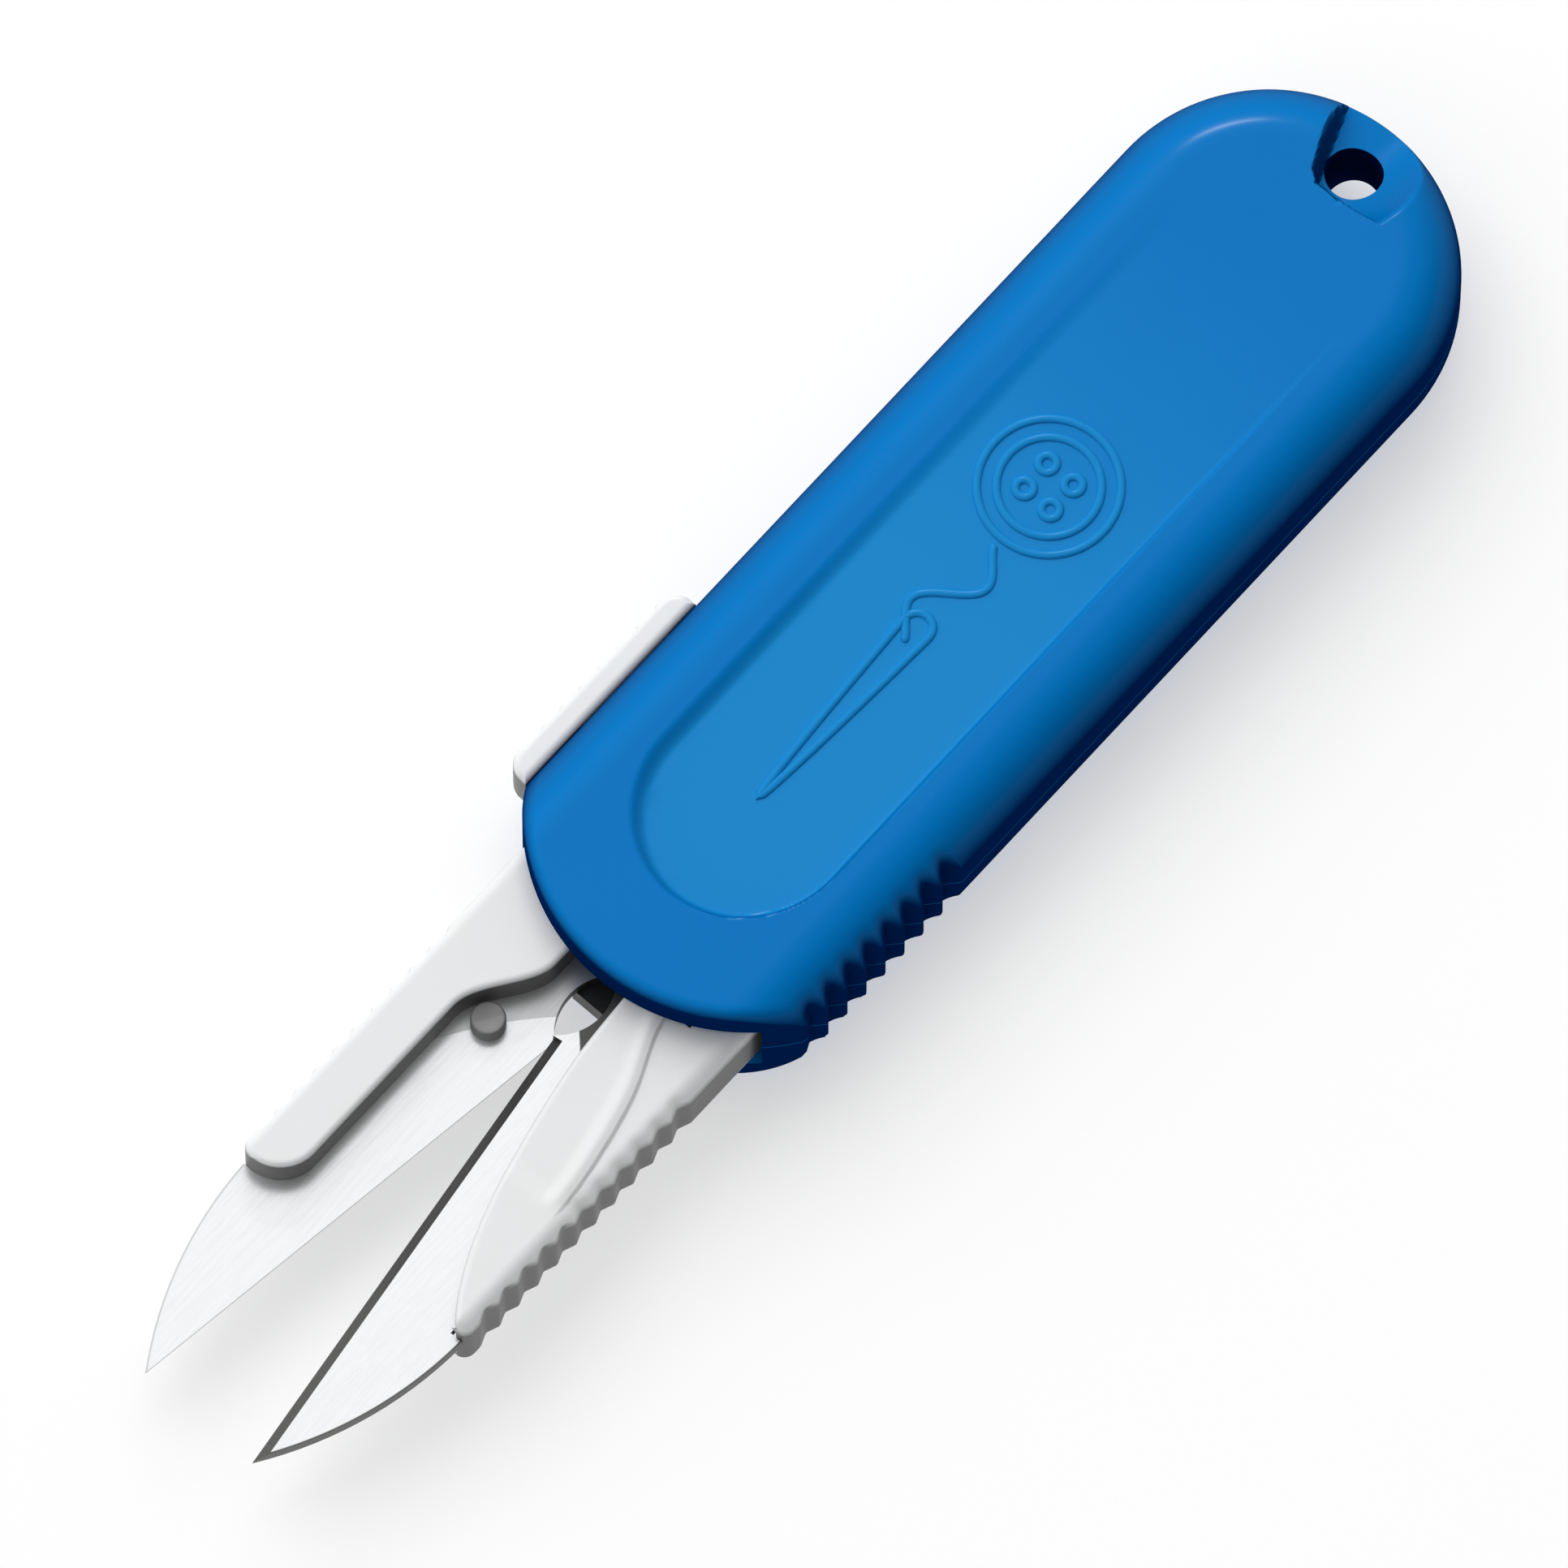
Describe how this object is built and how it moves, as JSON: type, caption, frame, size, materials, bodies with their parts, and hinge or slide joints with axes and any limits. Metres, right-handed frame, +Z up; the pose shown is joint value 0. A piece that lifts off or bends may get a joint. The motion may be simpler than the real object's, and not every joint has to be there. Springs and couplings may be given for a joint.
{
  "type": "retractable thread snips",
  "caption": "Pocket thread snips with two sprung finger arms and pointed blades that a thumb button slides in and out of a rounded case with a cord hole.",
  "frame": {"origin": "on the long axis, at the centre of the flat back face of the case, which is the face it lies on", "axes": "+X along the case towards the blade tips, +Z up out of the back face through the front panel, +Y across, away from the thumb button"},
  "size_m": [0.1196, 0.0277, 0.012],
  "materials": {
    "case_blue": "satin moulded ABS",
    "carriage_black": "moulded acetal",
    "white_nylon": "satin moulded nylon",
    "blade_steel": "ground and finely brushed stainless",
    "stud_steel": "dull grey steel",
    "spring_steel": "drawn spring wire and strip",
    "plain_steel": "plain steel"
  },
  "bodies": {
    "case": {"case_upper_shell": "case_blue", "case_lower_shell": "case_blue"},
    "carriage": {"slide_carriage": "carriage_black", "carriage_cap": "carriage_black", "carriage_rivets": "plain_steel", "thumb_button": "white_nylon", "detent_spring": "spring_steel", "pivot_rivet": "plain_steel", "pivot_washer": "plain_steel", "opening_spring": "spring_steel"},
    "right_arm": {"finger_arm_right": "white_nylon", "blade_right": "blade_steel", "stop_stud": "stud_steel"},
    "left_arm": {"finger_arm_left": "white_nylon", "blade_left": "blade_steel"}
  },
  "joints": [
    {"name": "blade_slide", "type": "slide", "parent": "case", "child": "carriage", "axis": [-1, 0, 0], "range_m": [0, 0.042]},
    {"name": "right_arm_close", "type": "hinge", "parent": "carriage", "child": "right_arm", "pos_m": [0.034, 0, 0.006], "axis": [0, 0, 1], "range_deg": [0, 6.6], "stiffness_Nm_per_rad": 0.3, "springref_deg": -14.32},
    {"name": "left_arm_close", "type": "hinge", "parent": "carriage", "child": "left_arm", "pos_m": [0.034, 0, 0.006], "axis": [0, 0, -1], "range_deg": [0, 6.6], "stiffness_Nm_per_rad": 0.3, "springref_deg": -14.32}
  ],
  "couplings": [
    {"joint": "left_arm_close", "follows": "right_arm_close", "ratio": 1}
  ]
}
